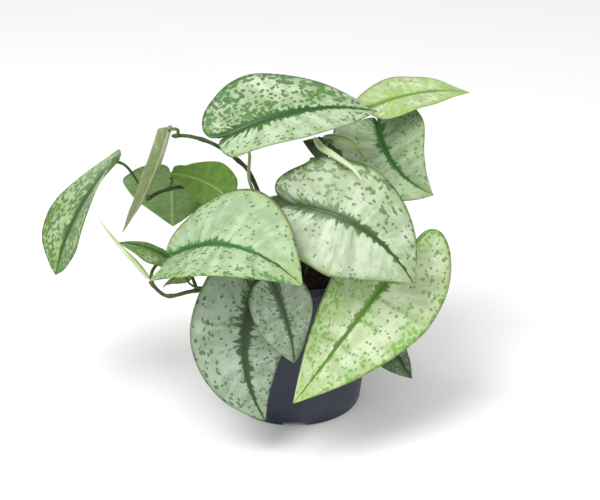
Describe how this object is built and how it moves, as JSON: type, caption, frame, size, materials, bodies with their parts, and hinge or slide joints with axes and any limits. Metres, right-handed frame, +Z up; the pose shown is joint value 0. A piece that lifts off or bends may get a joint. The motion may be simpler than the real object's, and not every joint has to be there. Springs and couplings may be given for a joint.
{
  "type": "potted pothos plant",
  "caption": "Bushy satin pothos with silver-mottled, heart-shaped leaves on short arching vines, planted in a small round black plastic nursery pot that stands on its own base.",
  "frame": {"origin": "centre of the pot's base, on the surface it stands on", "axes": "+Z up along the pot's axis; the front of the plant looks along -Y and its longest side runs along X"},
  "size_m": [0.2793, 0.2164, 0.2244],
  "materials": {
    "black_plastic": "satin moulded polypropylene",
    "potting_soil": "loose, damp peat and bark mix",
    "leaf_silver": "satin leaf, silver mottling over green",
    "stem_green": "smooth fleshy stem",
    "spear_pale": "smooth, pale new growth"
  },
  "bodies": {
    "root": {"pot": "black_plastic", "potting_soil": "potting_soil", "vine_arching": "stem_green", "vine_left": "stem_green", "vine_low": "stem_green", "vine_right": "stem_green", "vine_front": "stem_green", "vine_back": "stem_green", "leaf_top": "leaf_silver", "leaf_top_right": "leaf_silver", "leaf_right_back": "leaf_silver", "leaf_centre": "leaf_silver", "leaf_front_right": "leaf_silver", "leaf_left_front": "leaf_silver", "leaf_bottom_left": "leaf_silver", "leaf_bottom_middle": "leaf_silver", "leaf_far_left": "leaf_silver", "leaf_edge_left": "leaf_silver", "leaf_green_back": "leaf_silver", "leaf_green_dome": "leaf_silver", "leaf_low_right": "leaf_silver", "leaf_small_left": "leaf_silver", "leaf_centre_back": "leaf_silver", "leaf_behind_left": "leaf_silver", "leaf_curled_left": "leaf_silver", "leaf_peek": "leaf_silver", "leaf_back_left": "leaf_silver", "leaf_back_middle": "leaf_silver", "leaf_back_right": "leaf_silver", "leaf_back_high": "leaf_silver", "leaf_back_side": "leaf_silver", "spear_centre": "spear_pale", "spear_low": "spear_pale", "petiole_top": "stem_green", "petiole_edge_left": "stem_green", "petiole_behind_left": "stem_green", "petiole_green_dome": "stem_green", "petiole_green_back": "stem_green", "petiole_far_left": "stem_green", "petiole_small_left": "stem_green", "petiole_curled_left": "stem_green", "petiole_left_front": "stem_green", "petiole_bottom_left": "stem_green", "petiole_bottom_middle": "stem_green", "petiole_centre": "stem_green", "petiole_front_right": "stem_green", "petiole_low_right": "stem_green", "petiole_centre_back": "stem_green", "petiole_peek": "stem_green", "petiole_right_back": "stem_green", "petiole_top_right": "stem_green", "petiole_back_high": "stem_green", "petiole_back_side": "stem_green", "petiole_back_left": "stem_green", "petiole_back_middle": "stem_green", "petiole_back_right": "stem_green"}
  },
  "joints": []
}
